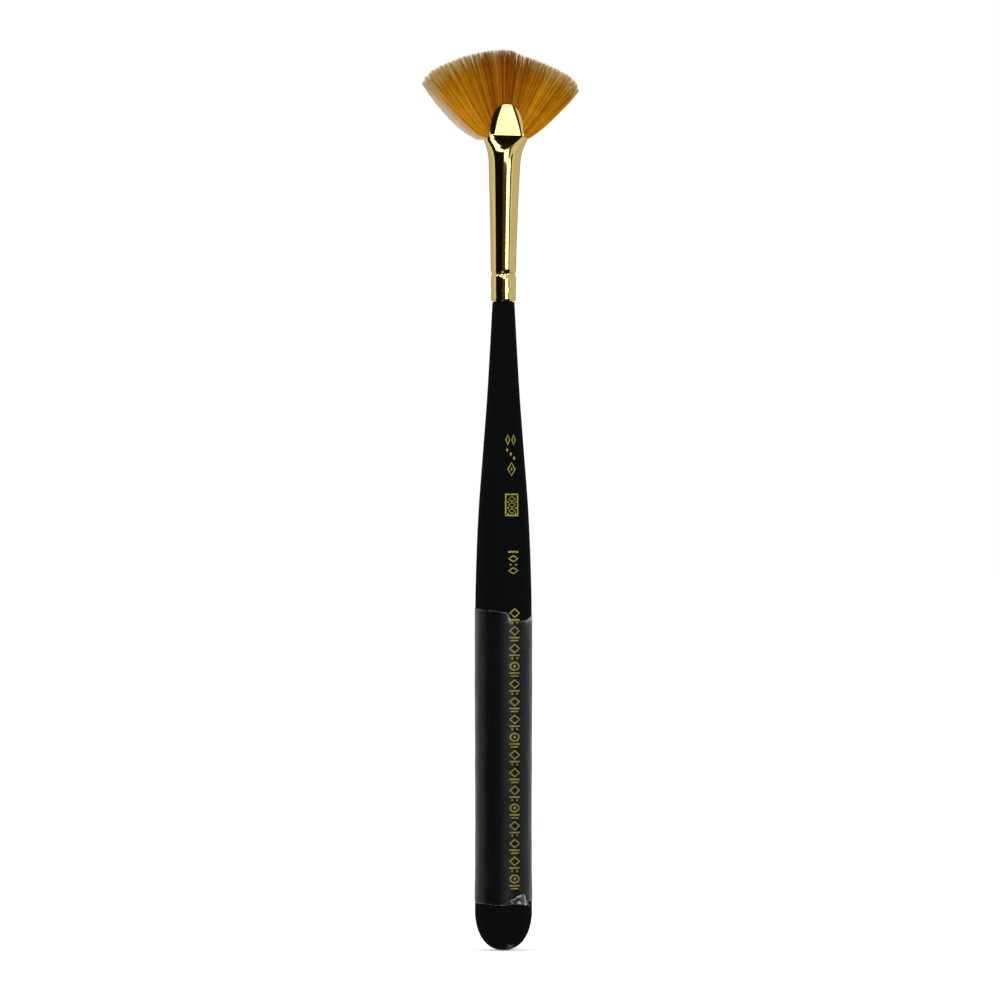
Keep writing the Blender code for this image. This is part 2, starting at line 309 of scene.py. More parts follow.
class Value:
    """An output socket. Arithmetic on it adds a Math node for each operation."""

    def __init__(self, tree, socket):
        self.tree = tree
        self.socket = socket

    def math(self, operation, *values):
        sockets = dict(enumerate(values))
        return self.tree.node("ShaderNodeMath", {"operation": operation}, sockets)

    def __add__(self, other):
        return self.math("ADD", self, other)

    def __radd__(self, other):
        return self.math("ADD", other, self)

    def __sub__(self, other):
        return self.math("SUBTRACT", self, other)

    def __rsub__(self, other):
        return self.math("SUBTRACT", other, self)

    def __mul__(self, other):
        return self.math("MULTIPLY", self, other)

    def __rmul__(self, other):
        return self.math("MULTIPLY", other, self)


def rgba(value):
    """A colour with its alpha, or a link as it is."""
    return value if isinstance(value, Value) else (*value, 1.0)


def material_tree(name):
    return Tree(bpy.data.materials.new(name))


# --- making pieces ---


def ring_order(point):
    """A number that grows round each ring of a spun shape, and from one ring to the next."""
    return 10 * round(point.z / MICRON) + math.atan2(point.x, -point.y)


def spun(profile, steps):
    """Spin an (r, z) profile about Z into a closed shape, in the same order each time."""
    shape = bmesh.new()
    verts = [shape.verts.new((r, 0, z)) for r, z in profile]
    edges = [shape.edges.new(pair) for pair in zip(verts, verts[1:])]
    bmesh.ops.spin(
        shape,
        geom=verts + edges,
        cent=(0, 0, 0),
        axis=(0, 0, 1),
        angle=2 * math.pi,
        steps=steps,
        use_merge=True,
    )
    closed(shape)
    shape.verts.sort(key=lambda vert: ring_order(vert.co))
    shape.faces.sort(key=lambda face: ring_order(face.calc_center_median()))
    return shape


def rolled(columns, rows, place):
    """Roll a grid into a tube: place(column, row) says where each point of the grid goes."""
    shape = bmesh.new()
    bmesh.ops.create_grid(shape, x_segments=columns, y_segments=rows, size=0.5)
    for vert in shape.verts:
        column = round((vert.co.x + 0.5) * columns)
        row = round((vert.co.y + 0.5) * rows)
        vert.co = place(column, row)
    return closed(shape)


def closed(shape):
    """Merge the seam and the poles, and point the faces outwards."""
    bmesh.ops.remove_doubles(shape, verts=shape.verts, dist=0.1 * MICRON)
    bmesh.ops.recalc_face_normals(shape, faces=shape.faces)
    return shape


def with_modifiers_applied(piece):
    """Replace a piece's mesh by its evaluated one, so that its sharp edges can be marked."""
    bpy.context.view_layer.update()
    graph = bpy.context.evaluated_depsgraph_get()
    mesh = bpy.data.meshes.new_from_object(piece.evaluated_get(graph))
    mesh.name = piece.name
    piece.modifiers.clear()
    piece.data = mesh
    return piece


def shade(mesh, sharp_angle):
    mesh.shade_smooth()
    mesh.set_sharp_from_angle(angle=math.radians(sharp_angle))


def add_piece(name, shape, material, sharp_angle=40):
    """Make a finished bmesh an object at the origin, smooth but for its sharp edges."""
    mesh = bpy.data.meshes.new(name)
    shape.to_mesh(mesh)
    shape.free()
    shade(mesh, sharp_angle)
    mesh.materials.append(material)
    piece = bpy.data.objects.new(name, mesh)
    bpy.context.scene.collection.objects.link(piece)
    return piece


def add_wall(piece, thickness, offset):
    wall = piece.modifiers.new("wall", "SOLIDIFY")
    wall.thickness = thickness
    wall.offset = offset


def set_attributes(mesh, **named):
    """Give each vertex of a mesh its values, for the material to read by name."""
    for name, values in named.items():
        attribute = mesh.attributes.new(name, "FLOAT", "POINT")
        attribute.data.foreach_set("value", np.asarray(values, dtype=np.float32).ravel())


def belongs(piece, slot, *nodes):
    """Ride on the brush, and stand for CAD nodes where named. The slot is not used."""
    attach(piece, "brush")
    if nodes:
        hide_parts(*nodes)


# --- handle ---

TURNED_STEPS = 4
CHIPPED_HEIGHTS = (0.05 * MM, 0.2 * MM, 0.7 * MM, 0.95 * MM)
CHIPPED_SIDE = (0.3 * MM, 0.6 * MM, 1.35 * MM, 1.65 * MM)


def black_lacquer(settings):
    tree = material_tree("black_lacquer")
    place = tree.place()
    x, y, z = tree.axes(place)
    cloud = tree.noise(place, 260.0, 3.0)
    grain = tree.noise(tree.stretched(place, (1.0, 1.0, 0.08)), 5200.0, 3.0)
    speck = tree.noise(place, 5200.0, 2.0)
    front = 1 - tree.step(y, -0.5 * MM, 0.0)
    chipped = tree.band(z, *CHIPPED_HEIGHTS) * tree.band(x, *CHIPPED_SIDE) * front
    chips = tree.step(speck, 0.50, 0.56) * chipped
    nicks = tree.step(tree.noise(place, 1500.0, 1.0), 0.77, 0.79) * 0.35
    paint = tree.mix(cloud, settings.lacquer, [0.8 * c for c in settings.lacquer])
    base = tree.mix(chips, paint, settings.undercoat)
    surface = grain * 0.35 + cloud * 0.65 - chips * 0.8 - nicks
    shader = tree.principled(
        Base_Color=base,
        Roughness=0.50 + 0.12 * cloud + 0.25 * chips,
        Specular_IOR_Level=settings.gloss,
        Normal=tree.bump(surface, 0.012 * MM),
    )
    return tree.surface(shader)


class FANBRUSH_OT_handle(bpy.types.Operator):
    """Turn the lacquered handle, with the tenon that goes up into the ferrule"""

    bl_idname = "fan_brush.handle"
    bl_label = "Handle"

    def execute(self, context):
        settings = context.scene.fan_brush_handle
        belly = rounded_line([(r, z) for z, r in BELLY_STATIONS], TURNED_STEPS)
        tenon_foot = TENON_STATIONS[0][1]
        tenon = [(tenon_foot, SHOULDER_Z)] + [(r, z) for z, r in TENON_STATIONS[:-1]]
        nose = [(TENON_STATIONS[-1][1], HANDLE_TOP), (0.0, HANDLE_TOP)]
        shape = spun([tuple(point) for point in belly] + tenon + nose, settings.steps)
        handle = add_piece("turned_handle", shape, black_lacquer(settings), 35)
        belongs(handle, "black_lacquer", "handle")
        return {"FINISHED"}


# --- ferrule ---

# The tube grows evenly up to BODY_END, and flares from there to the shoulders of its mouth.
FOOT_RADIUS = 1.64 * MM
BODY_RADIUS = 1.70 * MM
BODY_START = 90.7 * MM
BODY_END = 105.0 * MM
BODY_GROWTH = 0.41 * MM
BODY_POWER = 1.5
FLARE_HEIGHT = 3.2 * MM
FLARE_GROWTH = 0.78 * MM
MOUTH_HALF_WIDTH = FERRULE_HIGH.x
SHOULDER_SOFTNESS = 0.04 * MM
LIP_ROLL = 0.3 * MM
LIP_INSET = 0.06 * MM

# A rolled groove with crimping marks in it, and a faint second row of marks below it.
CRIMP_Z = 90.1 * MM
CRIMP_HALF_HEIGHT = 0.34 * MM
DIMPLE_TURN = math.radians(-4)
DIMPLE_ROW_Z = 88.0 * MM
DIMPLE_ROW_HALF_HEIGHT = 0.28 * MM
SECOND_ROW = 0.25

# Half the depth of the tube, front to back, and how far it stands off to the right.
DEPTH_STATIONS = [
    (103.5 * MM, 2.04 * MM),
    (106.2 * MM, 1.92 * MM),
    (107.2 * MM, 1.62 * MM),
    (108.6 * MM, 1.11 * MM),
    (110.7 * MM, 0.90 * MM),
    (112.8 * MM, 0.73 * MM),
]
STEP_SOFTNESS = 0.12 * MM
SHIFT_STATIONS = [
    (92.0 * MM, 0.0),
    (100.0 * MM, 0.07 * MM),
    (105.0 * MM, 0.15 * MM),
    (107.0 * MM, 0.22 * MM),
    (108.3 * MM, 0.33 * MM),
]

# The press leaves a ramp from PRESS_START to the crease, then a facet, with a flank at each side.
PRESS_START = 107.15 * MM
PRESS_REACH = 1.0 * MM
PRESS_START_DEPTH = 1.74 * MM
RAMP_TURN = 0.055
FOLD_START = 108.0 * MM
FOLD_SOFTNESS = 0.17 * MM
CREASE_Z = 108.6 * MM
CREASE_SOFTNESS = 0.05 * MM
EDGE_SOFTNESS = 0.10 * MM
FLAT_DEPTH = 0.78 * MM
FACET_LEAN = 0.035
FACET_TURN = 0.04
FACET_EDGE = [(108.6 * MM, 2.05 * MM), (110.7 * MM, 1.50 * MM), (112.8 * MM, 0.80 * MM)]
FLANK_SLOPE = 0.36
FLANK_SOFTNESS = 0.22 * MM

# The mouth is cut at CUT_Z, but for a tongue at the front and the back, under an arch.
CUT_Z = 108.35 * MM
ARCH_CENTRE = 0.12 * MM
ARCH_HALF_WIDTH = 2.2 * MM
ARCH_HEIGHT = FERRULE_HIGH.z - CUT_Z - 0.12 * MM
ARCH_POWER = 2.5
ARCH_COLUMNS = 54
SIDE_COLUMNS = 24
LIP_ROWS = 5
FOOT_ROWS = 4
CRIMPED_ROWS = 54
BODY_ROWS = 40
PRESSED_ROWS = 96
TONGUE_ROWS = 80


def ferrule_half_width(z):
    rise = max(0.0, z - BODY_START) / (BODY_END - BODY_START)
    width = BODY_RADIUS + BODY_GROWTH * rise**BODY_POWER
    if z < BODY_START:
        part = (z - FERRULE_LOW.z) / (BODY_START - FERRULE_LOW.z)
        width = FOOT_RADIUS + (BODY_RADIUS - FOOT_RADIUS) * part
    flare = max(0.0, z - BODY_END) / FLARE_HEIGHT
    width += FLARE_GROWTH * flare**2
    lip = max(0.0, 1 - (z - FERRULE_LOW.z) / LIP_ROLL)
    return soft_minimum(width - LIP_INSET * lip**2, MOUTH_HALF_WIDTH, SHOULDER_SOFTNESS)


def press_depth(z, x, front):
    """How far the pressed face stands from the middle plane: a ramp up to a flat facet."""
    part = (z - PRESS_START) / (CREASE_Z - PRESS_START)
    ramp = PRESS_START_DEPTH + (FLAT_DEPTH - PRESS_START_DEPTH) * part
    ramp -= RAMP_TURN * x if front else 0.0
    flat = FLAT_DEPTH - FACET_LEAN * (z - CREASE_Z) - (FACET_TURN * x if front else 0.0)
    return -soft_minimum(-ramp, -flat, CREASE_SOFTNESS)


def ferrule_point(settings, angle, z):
    """A point on the outside of the ferrule: an ellipse, pressed flat at the front and back."""
    groove = math.exp(-(((z - CRIMP_Z) / CRIMP_HALF_HEIGHT) ** 2))
    row = math.exp(-(((z - DIMPLE_ROW_Z) / DIMPLE_ROW_HALF_HEIGHT) ** 2))
    beat = 0.5 + 0.5 * math.cos(settings.dimples * (angle - DIMPLE_TURN))
    dent = groove * (settings.crimp_depth + settings.dimple_depth * beat)
    dent += SECOND_ROW * settings.dimple_depth * row * beat
    width = ferrule_half_width(z)
    depth = soft_minimum(through(DEPTH_STATIONS, z), width, STEP_SOFTNESS)
    x = (width - dent) * math.sin(angle)
    y = (depth - dent) * abs(math.cos(angle))
    front = math.cos(angle) > 0
    if z > PRESS_START - PRESS_REACH:
        fold = 1 - smooth_step(z, FOLD_START, CREASE_Z)
        softness = EDGE_SOFTNESS + (FOLD_SOFTNESS - EDGE_SOFTNESS) * fold
        press = press_depth(z, x, front)
        flank = press + FLANK_SLOPE * (through(FACET_EDGE, z) - abs(x))
        y = soft_minimum(soft_minimum(y, press, softness), flank, FLANK_SOFTNESS)
    return Vector((x + through(SHIFT_STATIONS, z), -y if front else y, z))


def arch_point(column):
    """How far across a tongue a column stands, and the height where it is cut."""
    turn = math.pi * column / ARCH_COLUMNS
    across = -math.copysign(abs(math.cos(turn)) ** (2 / ARCH_POWER), math.cos(turn))
    rise = ARCH_HEIGHT * math.sin(turn) ** (2 / ARCH_POWER)
    return ARCH_CENTRE + ARCH_HALF_WIDTH * across, CUT_Z + rise


def ferrule_columns():
    """Each column's angle round the ferrule, and the height where the mouth is cut there.

    The columns of a tongue follow the arch, and those of a side are evenly spaced."""

    def turn(x):
        return math.asin(x / MOUTH_HALF_WIDTH)

    left = turn(ARCH_CENTRE - ARCH_HALF_WIDTH)
    right = turn(ARCH_CENTRE + ARCH_HALF_WIDTH)
    tongue = [arch_point(column) for column in range(ARCH_COLUMNS + 1)]
    columns = [(turn(x), top) for x, top in tongue[:-1]]
    columns += [(angle, CUT_Z) for angle in spread(right, math.pi - right, SIDE_COLUMNS)]
    columns += [(math.pi - turn(x), top) for x, top in reversed(tongue[1:])]
    far_left = spread(math.pi - left, 2 * math.pi + left, SIDE_COLUMNS)
    columns += [(angle, CUT_Z) for angle in far_left]
    return columns + [(left + 2 * math.pi, CUT_Z)]


def ferrule_rows():
    """Heights up to the cut, close together where the tube is rolled, crimped and pressed."""
    lip_top = FERRULE_LOW.z + LIP_ROLL
    crimped_low, crimped_high = DIMPLE_ROW_Z - 0.8 * MM, BODY_START + 0.6 * MM
    heights = spread(FERRULE_LOW.z, lip_top, LIP_ROWS)
    heights += spread(lip_top, crimped_low, FOOT_ROWS)
    heights += spread(crimped_low, crimped_high, CRIMPED_ROWS)
    heights += spread(crimped_high, BODY_END, BODY_ROWS)
    return heights + spread(BODY_END, CUT_Z, PRESSED_ROWS) + [CUT_Z]


def gold_plate(settings):
    tree = material_tree("gold_plate")
    place = tree.place()
    cloud = tree.noise(place, 420.0, 3.0)
    drawn = tree.noise(tree.stretched(place, (1.0, 1.0, 0.02)), 9000.0, 3.0, 0.6)
    rubbed = tree.noise(tree.stretched(place, (0.25, 0.25, 1.0)), 7000.0, 2.0)
    worn = tree.step(cloud, 0.52, 0.80) * 0.35
    base = tree.mix(worn, settings.plating, settings.tarnish)
    height = drawn * 0.5 + rubbed * 0.2 + cloud * 0.3
    shader = tree.principled(
        Base_Color=base,
        Metallic=1.0,
        Roughness=0.055 + 0.05 * cloud + 0.03 * drawn,
        Normal=tree.bump(height, 0.0003 * MM),
    )
    return tree.surface(shader)


class FANBRUSH_OT_ferrule(bpy.types.Operator):
    """Roll the ferrule, press its mouth flat, cut its two tongues and crimp its foot"""

    bl_idname = "fan_brush.ferrule"
    bl_label = "Ferrule"

    def execute(self, context):
        settings = context.scene.fan_brush_ferrule
        columns = ferrule_columns()
        heights = ferrule_rows()
        cut_row = len(heights) - 1

        def place(column, row):
            """Above the cut only a tongue goes on, and a side's rows all fall on its edge."""
            angle, top = columns[column]
            if row <= cut_row:
                return ferrule_point(settings, angle, heights[row])
            rise = (top - CUT_Z) * (row - cut_row) / TONGUE_ROWS
            return ferrule_point(settings, angle, CUT_Z + rise)

        shape = rolled(len(columns) - 1, cut_row + TONGUE_ROWS, place)
        ferrule = add_piece("pressed_ferrule", shape, gold_plate(settings))
        add_wall(ferrule, settings.wall, -1)
        shade(with_modifiers_applied(ferrule).data, 50)
        belongs(ferrule, "gold_plate", "ferrule")
        return {"FINISHED"}


# --- what the ferrule hides ---


def wood_cement():
    tree = material_tree("wood_cement")
    place = tree.place()
    crumb = tree.noise(place, 2600.0, 4.0)
    shader = tree.principled(
        Base_Color=tree.mix(crumb, (0.42, 0.33, 0.17), (0.66, 0.57, 0.36)),
        Roughness=0.45 + 0.25 * crumb,
        Normal=tree.bump(crumb, 0.03 * MM),
    )
    return tree.surface(shader)


def epoxy():
    tree = material_tree("epoxy")
    place = tree.place()
    flow = tree.noise(place, 900.0, 3.0)
    bubbles = tree.node("ShaderNodeTexVoronoi", sockets={"Vector": place, "Scale": 4200.0})
    pits = 1 - tree.step(bubbles, 0.12, 0.25)
    shader = tree.principled(
        Base_Color=tree.mix(flow, (0.36, 0.20, 0.05), (0.56, 0.36, 0.12)),
        Roughness=0.18 + 0.2 * flow + 0.2 * pits,
        Normal=tree.bump(flow - pits * 0.5, 0.02 * MM),
        Coat_Weight=0.4,
    )
    return tree.surface(shader)


def binding_thread():
    tree = material_tree("binding_thread")
    place = tree.place()
    slanted = tree.node(
        "ShaderNodeMapping",
        sockets={"Vector": place, "Rotation": (0.0, math.radians(35), math.radians(20))},
    )
    settings = {"wave_type": "BANDS", "bands_direction": "Z"}
    sockets = {"Vector": slanted, "Scale": 2600.0, "Distortion": 1.5, "Detail": 2.0}
    twist = tree.node("ShaderNodeTexWave", settings, sockets, output="Fac")
    lint = tree.noise(place, 9000.0, 2.0)
    shader = tree.principled(
        Base_Color=tree.mix(twist, (0.48, 0.44, 0.36), (0.82, 0.79, 0.71)),
        Roughness=0.75 + 0.15 * lint,
        Normal=tree.bump(twist * 0.8 + lint * 0.2, 0.03 * MM),
    )
    return tree.surface(shader)


class FANBRUSH_OT_inner_parts(bpy.types.Operator):
    """Give the cement, the resin and the thread inside the ferrule their own finishes"""

    bl_idname = "fan_brush.inner_parts"
    bl_label = "Inner Parts"

    def execute(self, context):
        finishes = {
            "tenon_cement": wood_cement,
            "root_epoxy": epoxy,
            "root_thread": binding_thread,
        }
        for node, finish in finishes.items():
            part = frame["nodes"][node]
            part.data.materials.clear()
            part.data.materials.append(finish())
        return {"FINISHED"}


# --- tuft ---

# A filament is a stack of rings, ALONG its length, and fines down from TAPER_START to its tip.
STRAND_START = 1.9 * MM
STRAND_SIDES = 3
STRAND_RINGS = 11
ALONG = np.linspace(0, 1, STRAND_RINGS) ** 1.3
TAPER_START = 0.60
TAPER_POWER = 1.3
TIP_LOSS = 0.88
BEND_BELOW = 1.5 * MM
BEND_ABOVE = 6 * MM

# The fan opens about its centre, inside the ferrule. Its mouth stands off to the right.
FAN_CENTRE_Z = 105.7 * MM
FAN_LEFT = -0.94
FAN_SPAN = 1.95
MOUTH_HALF_GAP = 0.36 * MM
MOUTH_SHIFT = 0.3 * MM
SHIFT_START = 2 * MM
SHIFT_FADE = 5 * MM
TIP_HALF_THICKNESS = 0.26 * MM
TIP_SCATTER = 0.17 * MM
SHORT_STRANDS = 0.25
SHORTEST = 0.8 * MM
FAN_EDGE = [
    (1.9 * MM, math.radians(45.0)),
    (3.4 * MM, math.radians(45.5)),
    (4.4 * MM, math.radians(53.4)),
    (6.3 * MM, math.radians(53.4)),
    (8.2 * MM, math.radians(52.0)),
    (10.0 * MM, math.radians(50.6)),
    (12.0 * MM, math.radians(49.5)),
    (14.5 * MM, math.radians(47.6)),
]
TIP_REACH = [
    (math.radians(-50), 14.5 * MM),
    (math.radians(-46), 14.95 * MM),
    (math.radians(-39), 15.0 * MM),
    (math.radians(-28), 14.6 * MM),
    (math.radians(-12), 14.35 * MM),
    (math.radians(5), 14.3 * MM),
    (math.radians(9), 13.95 * MM),
    (math.radians(19), 13.7 * MM),
    (math.radians(32), 13.8 * MM),
    (math.radians(42), 14.0 * MM),
    (math.radians(48), 13.5 * MM),
]

# How far the filaments of a lock gather, and how much the locks differ.
LOCK_SCATTER = 0.45
LOCK_PULL = 0.24
LOCK_REACH = 0.03 * MM
LOCK_SIDE = 0.05 * MM
LOCK_BEND = 0.004
STRAND_BEND = 0.006
LAYERS = {"filaments_back": 1.0, "filaments_middle": 0.0, "filaments_front": -1.0}
LAYER_SHIFT = 0.62
LAYER_SPREAD = 0.38

# The fan is darker in the middle, from painted shade, and lighter towards its sides, from painted
# light.
LOCK_TONE = 0.42
MIDDLE_WIDTH = 0.27
MIDDLE_PAINTED_SHADE = 0.24
SIDE_START = 0.3
SIDE_SPAN = 0.5
SIDE_PAINTED_LIGHT = 0.18

# The loose fringe, and the bundle of roots.
FRINGE_STRANDS = 420
FRINGE_START = -0.90
FRINGE_SPAN = 0.11
FRINGE_REACH = 14.8 * MM
FRINGE_SCATTER = 0.4 * MM
FRINGE_SWING = 0.05
FRINGE_POWER = 0.6
FRINGE_HALF_DEPTH = 0.28 * MM
BUNDLE_RADIUS = 1.1 * MM
BUNDLE_MOUTH_WIDTH = 1.62 * MM
BUNDLE_MOUTH_DEPTH = 0.62 * MM
BUNDLE_SPREAD_Z = 102.8 * MM
BUNDLE_TOP = 107.3 * MM
BUNDLE_FLUTES = 44
FLUTE_DEPTH = 0.035
FLUTE_TWIST = 9.0


def amber_filament(settings):
    tree = material_tree("amber_filament")
    along, tone, bleach = (tree.attribute(name) for name in ("along", "tone", "bleach"))
    place = tree.place()
    patch = tree.noise(place, 300.0, 2.0)
    streak = tree.noise(place, 2600.0, 2.0)
    # The tone carries the painted shade of the fan's middle and the painted light of its sides.
    light = tree.step(tone + 0.25 * (patch - 0.5), 0.45, 1.0)
    dark = 1 - tree.step(tone + 0.2 * (patch - 0.5), 0.0, 0.5)
    body = tree.mix(light, settings.amber, settings.honey)
    body = tree.mix(dark, body, settings.umber)
    tip = tree.step(along + 0.2 * (tone - 0.5), 0.85, 1.03) * (0.4 + 0.5 * tone)
    tipped = tree.mix(tip, body, settings.straw)
    base = tree.mix(bleach, tipped, settings.flax)
    shader = tree.principled(
        Base_Color=base,
        Roughness=0.36 + 0.16 * streak,
        Specular_IOR_Level=0.05,
        Normal=tree.bump(streak, 0.004 * MM),
    )
    return tree.surface(shader)


def strand_template():
    """One three-sided strand as a stack of unit rings, a metre apart, closed at both ends."""
    shape = bmesh.new()
    bmesh.ops.create_circle(shape, cap_ends=True, segments=STRAND_SIDES, radius=1.0)
    end = shape.faces[:]
    for _ in range(STRAND_RINGS - 1):
        keep = end[0] is shape.faces[:][0]
        made = bmesh.ops.extrude_face_region(shape, geom=end, use_keep_orig=keep)["geom"]
        verts = [part for part in made if isinstance(part, bmesh.types.BMVert)]
        end = [part for part in made if isinstance(part, bmesh.types.BMFace)]
        bmesh.ops.translate(shape, verts=verts, vec=(0, 0, 1))
    return closed(shape)


def strand_block(name, number, material):
    """Repeat the template, and return the object, the rings and the corners' angles."""
    block = add_piece(name, strand_template(), material, 180)
    template = np.array([vert.co for vert in block.data.vertices])
    array = block.modifiers.new("strands", "ARRAY")
    array.count = number
    with_modifiers_applied(block)
    rings = np.rint(template[:, 2]).astype(int)
    corners = np.arctan2(template[:, 1], template[:, 0])
    return block, rings, corners


def place_strands(block, rings, corners, centre, thick, turn):
    """Put each strand's rings along its own line: centre[strand, ring] is a point on it."""
    taper = 1 - TIP_LOSS * np.clip((ALONG - TAPER_START) / (1 - TAPER_START), 0, 1) ** TAPER_POWER
    radius = thick[:, None] * taper[None, :]
    tangent = np.gradient(centre, axis=1)
    tangent /= np.linalg.norm(tangent, axis=2, keepdims=True)
    side = np.cross(tangent, (0.0, 1.0, 0.0))
    side /= np.linalg.norm(side, axis=2, keepdims=True)
    up = np.cross(side, tangent)
    angle = (corners[None, :] + turn[:, None])[..., None]
    offset = np.cos(angle) * side[:, rings] + np.sin(angle) * up[:, rings]
    points = centre[:, rings] + radius[:, rings, None] * offset
    block.data.vertices.foreach_set("co", points.astype(np.float32).ravel())
    block.data.update()


class Locks:
    """The locks that the whole fan gathers into, which all its layers share.

    A place across the fan runs from -1 at its left edge to 1 at its right edge."""

    def __init__(self, number):
        random = np.random.default_rng(11)
        scatter = random.uniform(-LOCK_SCATTER, LOCK_SCATTER, number)
        places = (np.arange(number) + scatter) / (number - 1)
        self.place = 2 * np.sort(places) - 1
        self.pull = random.uniform(0.0, LOCK_PULL, number)
        self.tone = random.uniform(0.0, 1.0, number)
        self.reach = random.normal(0.0, LOCK_REACH, number)
        self.side = random.normal(0.0, LOCK_SIDE, number)
        self.bend = random.normal(0.0, LOCK_BEND, number)


def fan_point(place, radius, depth):
    """A point of the fan: the fan opens as it leaves the mouth, which stands off to a side."""
    radii, angles = zip(*FAN_EDGE)
    edge = np.interp(radius, radii, angles)
    angle = place * (angles[-1] + (edge - angles[-1]) * np.abs(place) ** 3)
    inside = np.clip(1 - (radius - SHIFT_START) / SHIFT_FADE, 0, 1)
    x = radius * np.sin(angle) + MOUTH_SHIFT * inside**2
    z = FAN_CENTRE_Z + radius * np.cos(angle)
    return np.stack([x, np.broadcast_to(depth, x.shape), z], axis=-1)


def tip_reach(place, random):
    """How far each filament reaches from the fan's centre. A few are cut shorter."""
    reach = np.array([through(TIP_REACH, share * FAN_EDGE[-1][1]) for share in place])
    number = len(place)
    cut = (random.uniform(0, 1, number) < SHORT_STRANDS) * random.uniform(0, SHORTEST, number)
    return reach - np.abs(random.normal(0, 1, number)) * TIP_SCATTER - cut


def layer_lines(number, locks, level, random):
    """Work out the filaments of one layer: their lines, and their tones."""
    place = FAN_LEFT + FAN_SPAN * (np.arange(number) + random.uniform(0, 1, number)) / number
    lock = np.abs(place[:, None] - locks.place[None, :]).argmin(axis=1)
    reach = tip_reach(place, random) + locks.reach[lock]
    radius = STRAND_START + (reach - STRAND_START)[:, None] * ALONG
    gather = (locks.place[lock] - place) * locks.pull[lock]
    wander = random.normal(0, STRAND_BEND, number) + locks.bend[lock]
    turned = place[:, None] + gather[:, None] * ALONG**3 + wander[:, None] * ALONG**2
    spot = random.uniform(-LAYER_SPREAD, LAYER_SPREAD, number)
    layer = np.clip(level * LAYER_SHIFT + spot, -1, 1)
    thick = MOUTH_HALF_GAP + (TIP_HALF_THICKNESS - MOUTH_HALF_GAP) * ALONG**2
    depth = layer[:, None] * thick + locks.side[lock][:, None] * ALONG**2
    tone = LOCK_TONE * locks.tone[lock] + (1 - LOCK_TONE) * random.uniform(0, 1, number)
    # Painted shade lowers the tone in the fan's middle, and painted light raises it towards the
    # sides.
    middle = np.exp(-((place / MIDDLE_WIDTH) ** 2))
    side = np.clip((np.abs(place) - SIDE_START) / SIDE_SPAN, 0, 1)
    tone = np.clip(tone - MIDDLE_PAINTED_SHADE * middle + SIDE_PAINTED_LIGHT * side, 0, 1)
    return fan_point(turned, radius, depth), tone


class FANBRUSH_OT_tuft(bpy.types.Operator):
    """Lay the filaments of the fan in layers, and gather their roots in a bundle"""

    bl_idname = "fan_brush.tuft"
    bl_label = "Tuft"

    def execute(self, context):
        settings = context.scene.fan_brush_tuft
        material = amber_filament(settings)
        locks = Locks(settings.locks)
        for seed, (name, level) in enumerate(LAYERS.items()):
            random = np.random.default_rng(100 + seed)
            centre, tone = layer_lines(settings.strands, locks, level, random)
            self.lay(name, material, settings, centre, tone, 0.0 * tone, random)
        self.lay_fringe(settings, material)
        self.gather_roots(material)
        return {"FINISHED"}

    def lay(self, name, material, settings, centre, tone, bleach, random):
        number = len(tone)
        block, rings, corners = strand_block(name, number, material)
        thick = random.uniform(0.75, 1.15, number) * settings.thickness / 2
        place_strands(block, rings, corners, centre, thick, random.uniform(0, 2, number))
        set_attributes(
            block.data,
            along=np.tile(ALONG[rings], number),
            tone=np.repeat(tone, len(rings)),
            bleach=np.repeat(bleach, len(rings)),
        )
        low, high = (0, 0, FLEX_Z - BEND_BELOW), (0, 0, FLEX_Z + BEND_ABOVE)
        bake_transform(block)
        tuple(low)
        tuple(high)
        if name == "filaments_front":
            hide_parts("filament_tips")

    def lay_fringe(self, settings, material):
        """Loose pale filaments that bow out below the left edge of the fan."""
        random = np.random.default_rng(7)
        number = FRINGE_STRANDS
        bow = random.uniform(0.0, 1.0, number) ** FRINGE_POWER
        place = FRINGE_START - FRINGE_SPAN * bow
        reach = FRINGE_REACH - np.abs(random.normal(0, FRINGE_SCATTER, number))
        radius = STRAND_START + (reach - STRAND_START)[:, None] * ALONG
        swing = np.sin(math.pi * ALONG**FRINGE_POWER) * FRINGE_SWING
        depth = random.uniform(-1, 1, number) * FRINGE_HALF_DEPTH
        tone = random.uniform(0.5, 1.0, number)
        bleach = np.clip(0.35 + 0.65 * bow, 0, 1)
        centre = fan_point(place[:, None] - bow[:, None] * swing, radius, depth[:, None])
        self.lay("filament_fringe", material, settings, centre, tone, bleach, random)

    def gather_roots(self, material):
        """The bundle inside the ferrule, round in the resin and flatter towards the mouth."""
        heights = spread(ROOTS_FOOT, BUNDLE_SPREAD_Z, 12) + spread(BUNDLE_SPREAD_Z, BUNDLE_TOP, 24)
        heights += [BUNDLE_TOP]
        columns = BUNDLE_FLUTES * 6

        def place(column, row):
            z = heights[max(0, min(row - 1, len(heights) - 1))]
            part = smooth_step(z, BUNDLE_SPREAD_Z, BUNDLE_TOP)
            width = BUNDLE_RADIUS + part * (BUNDLE_MOUTH_WIDTH - BUNDLE_RADIUS)
            depth = BUNDLE_RADIUS + part * (BUNDLE_MOUTH_DEPTH - BUNDLE_RADIUS)
            angle = 2 * math.pi * column / columns
            flute = 1 + FLUTE_DEPTH * math.cos(BUNDLE_FLUTES * angle + FLUTE_TWIST * part)
            size = 0.0 if row in (0, len(heights) + 1) else flute
            return Vector((width * size * math.sin(angle), -depth * size * math.cos(angle), z))

        shape = rolled(columns, len(heights) + 1, place)
        bundle = add_piece("filament_bundle", shape, material)
        none = np.zeros(len(bundle.data.vertices))
        set_attributes(bundle.data, along=none, tone=none + 0.4, bleach=none)
        belongs(bundle, "amber_filament", "filament_roots")


# --- clear film ---

